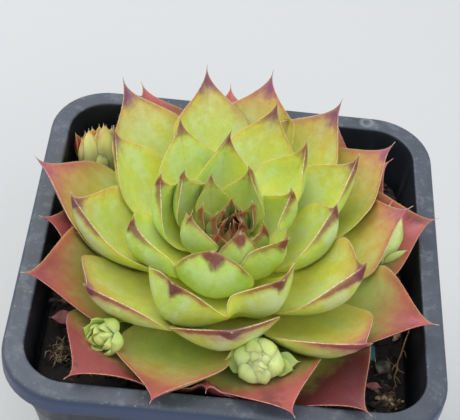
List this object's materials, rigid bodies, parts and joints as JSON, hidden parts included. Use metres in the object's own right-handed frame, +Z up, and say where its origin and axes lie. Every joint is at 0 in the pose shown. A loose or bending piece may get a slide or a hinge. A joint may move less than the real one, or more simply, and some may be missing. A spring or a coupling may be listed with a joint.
{
  "type": "potted hens and chicks succulent",
  "caption": "Rosette of fleshy red-tipped leaves on a short stem, with small offset rosettes on runners round it, in a square nursery pot of soil.",
  "frame": {"origin": "middle of the pot's flat underside", "axes": "+Z up, -Y towards the side that is the front, +X to the right seen from the front; the pot's walls face along X and Y"},
  "size_m": [0.09, 0.0939, 0.0972],
  "materials": {
    "pot": "dark grey moulded polypropylene, slightly glossy inside, dusty on the rim",
    "soil": "damp dark peat with fine crumbs and bark",
    "stem": "green-brown, fibrous",
    "heart": "dark green young leaves with brown-red toothed tips",
    "inner_leaf": "satin yellow-green flesh, thin cream margin, purple tip",
    "middle_leaf": "satin yellow-green flesh with a bluish bloom on the back, purple tip",
    "outer_leaf": "satin green flesh turning orange-red to the margin and tip",
    "lowest_leaf": "satin olive flesh turning deep red to the margin and tip",
    "chick": "pale lime green young leaves",
    "runner": "pale green, smooth",
    "rootlet": "dry brown root",
    "bark": "brown bark chip",
    "chip": "dull blue-green chip"
  },
  "bodies": {
    "root": {"pot": "pot", "soil": "soil", "stem": "stem", "heart": "heart", "inner_leaf_1": "inner_leaf", "inner_leaf_2": "inner_leaf", "inner_leaf_3": "inner_leaf", "inner_leaf_4": "inner_leaf", "inner_leaf_5": "inner_leaf", "inner_leaf_6": "inner_leaf", "inner_leaf_7": "inner_leaf", "inner_leaf_8": "inner_leaf", "inner_leaf_9": "inner_leaf", "middle_leaf_1": "middle_leaf", "middle_leaf_2": "middle_leaf", "middle_leaf_3": "middle_leaf", "middle_leaf_4": "middle_leaf", "middle_leaf_5": "middle_leaf", "middle_leaf_6": "middle_leaf", "middle_leaf_7": "middle_leaf", "middle_leaf_8": "middle_leaf", "middle_leaf_9": "middle_leaf", "middle_leaf_10": "middle_leaf", "middle_leaf_11": "middle_leaf", "outer_leaf_1": "outer_leaf", "outer_leaf_2": "outer_leaf", "outer_leaf_3": "outer_leaf", "outer_leaf_4": "outer_leaf", "outer_leaf_5": "outer_leaf", "outer_leaf_6": "outer_leaf", "outer_leaf_7": "outer_leaf", "outer_leaf_8": "outer_leaf", "outer_leaf_9": "outer_leaf", "outer_leaf_10": "outer_leaf", "outer_leaf_11": "outer_leaf", "outer_leaf_12": "outer_leaf", "lowest_leaf_1": "lowest_leaf", "lowest_leaf_2": "lowest_leaf", "lowest_leaf_3": "lowest_leaf", "lowest_leaf_4": "lowest_leaf", "lowest_leaf_5": "lowest_leaf", "lowest_leaf_6": "lowest_leaf", "lowest_leaf_7": "lowest_leaf", "lowest_leaf_8": "lowest_leaf", "lowest_leaf_9": "lowest_leaf", "lowest_leaf_10": "lowest_leaf", "lowest_leaf_11": "lowest_leaf", "lowest_leaf_12": "lowest_leaf", "lowest_leaf_13": "lowest_leaf", "chick_back_left": "chick", "chick_front": "chick", "chick_front_left": "chick", "chick_right": "chick", "runner_back_left": "runner", "runner_front": "runner", "runner_front_left": "runner", "runner_right": "runner", "dry_rootlet": "rootlet", "bark_chip": "bark", "green_chip": "chip"}
  },
  "joints": []
}
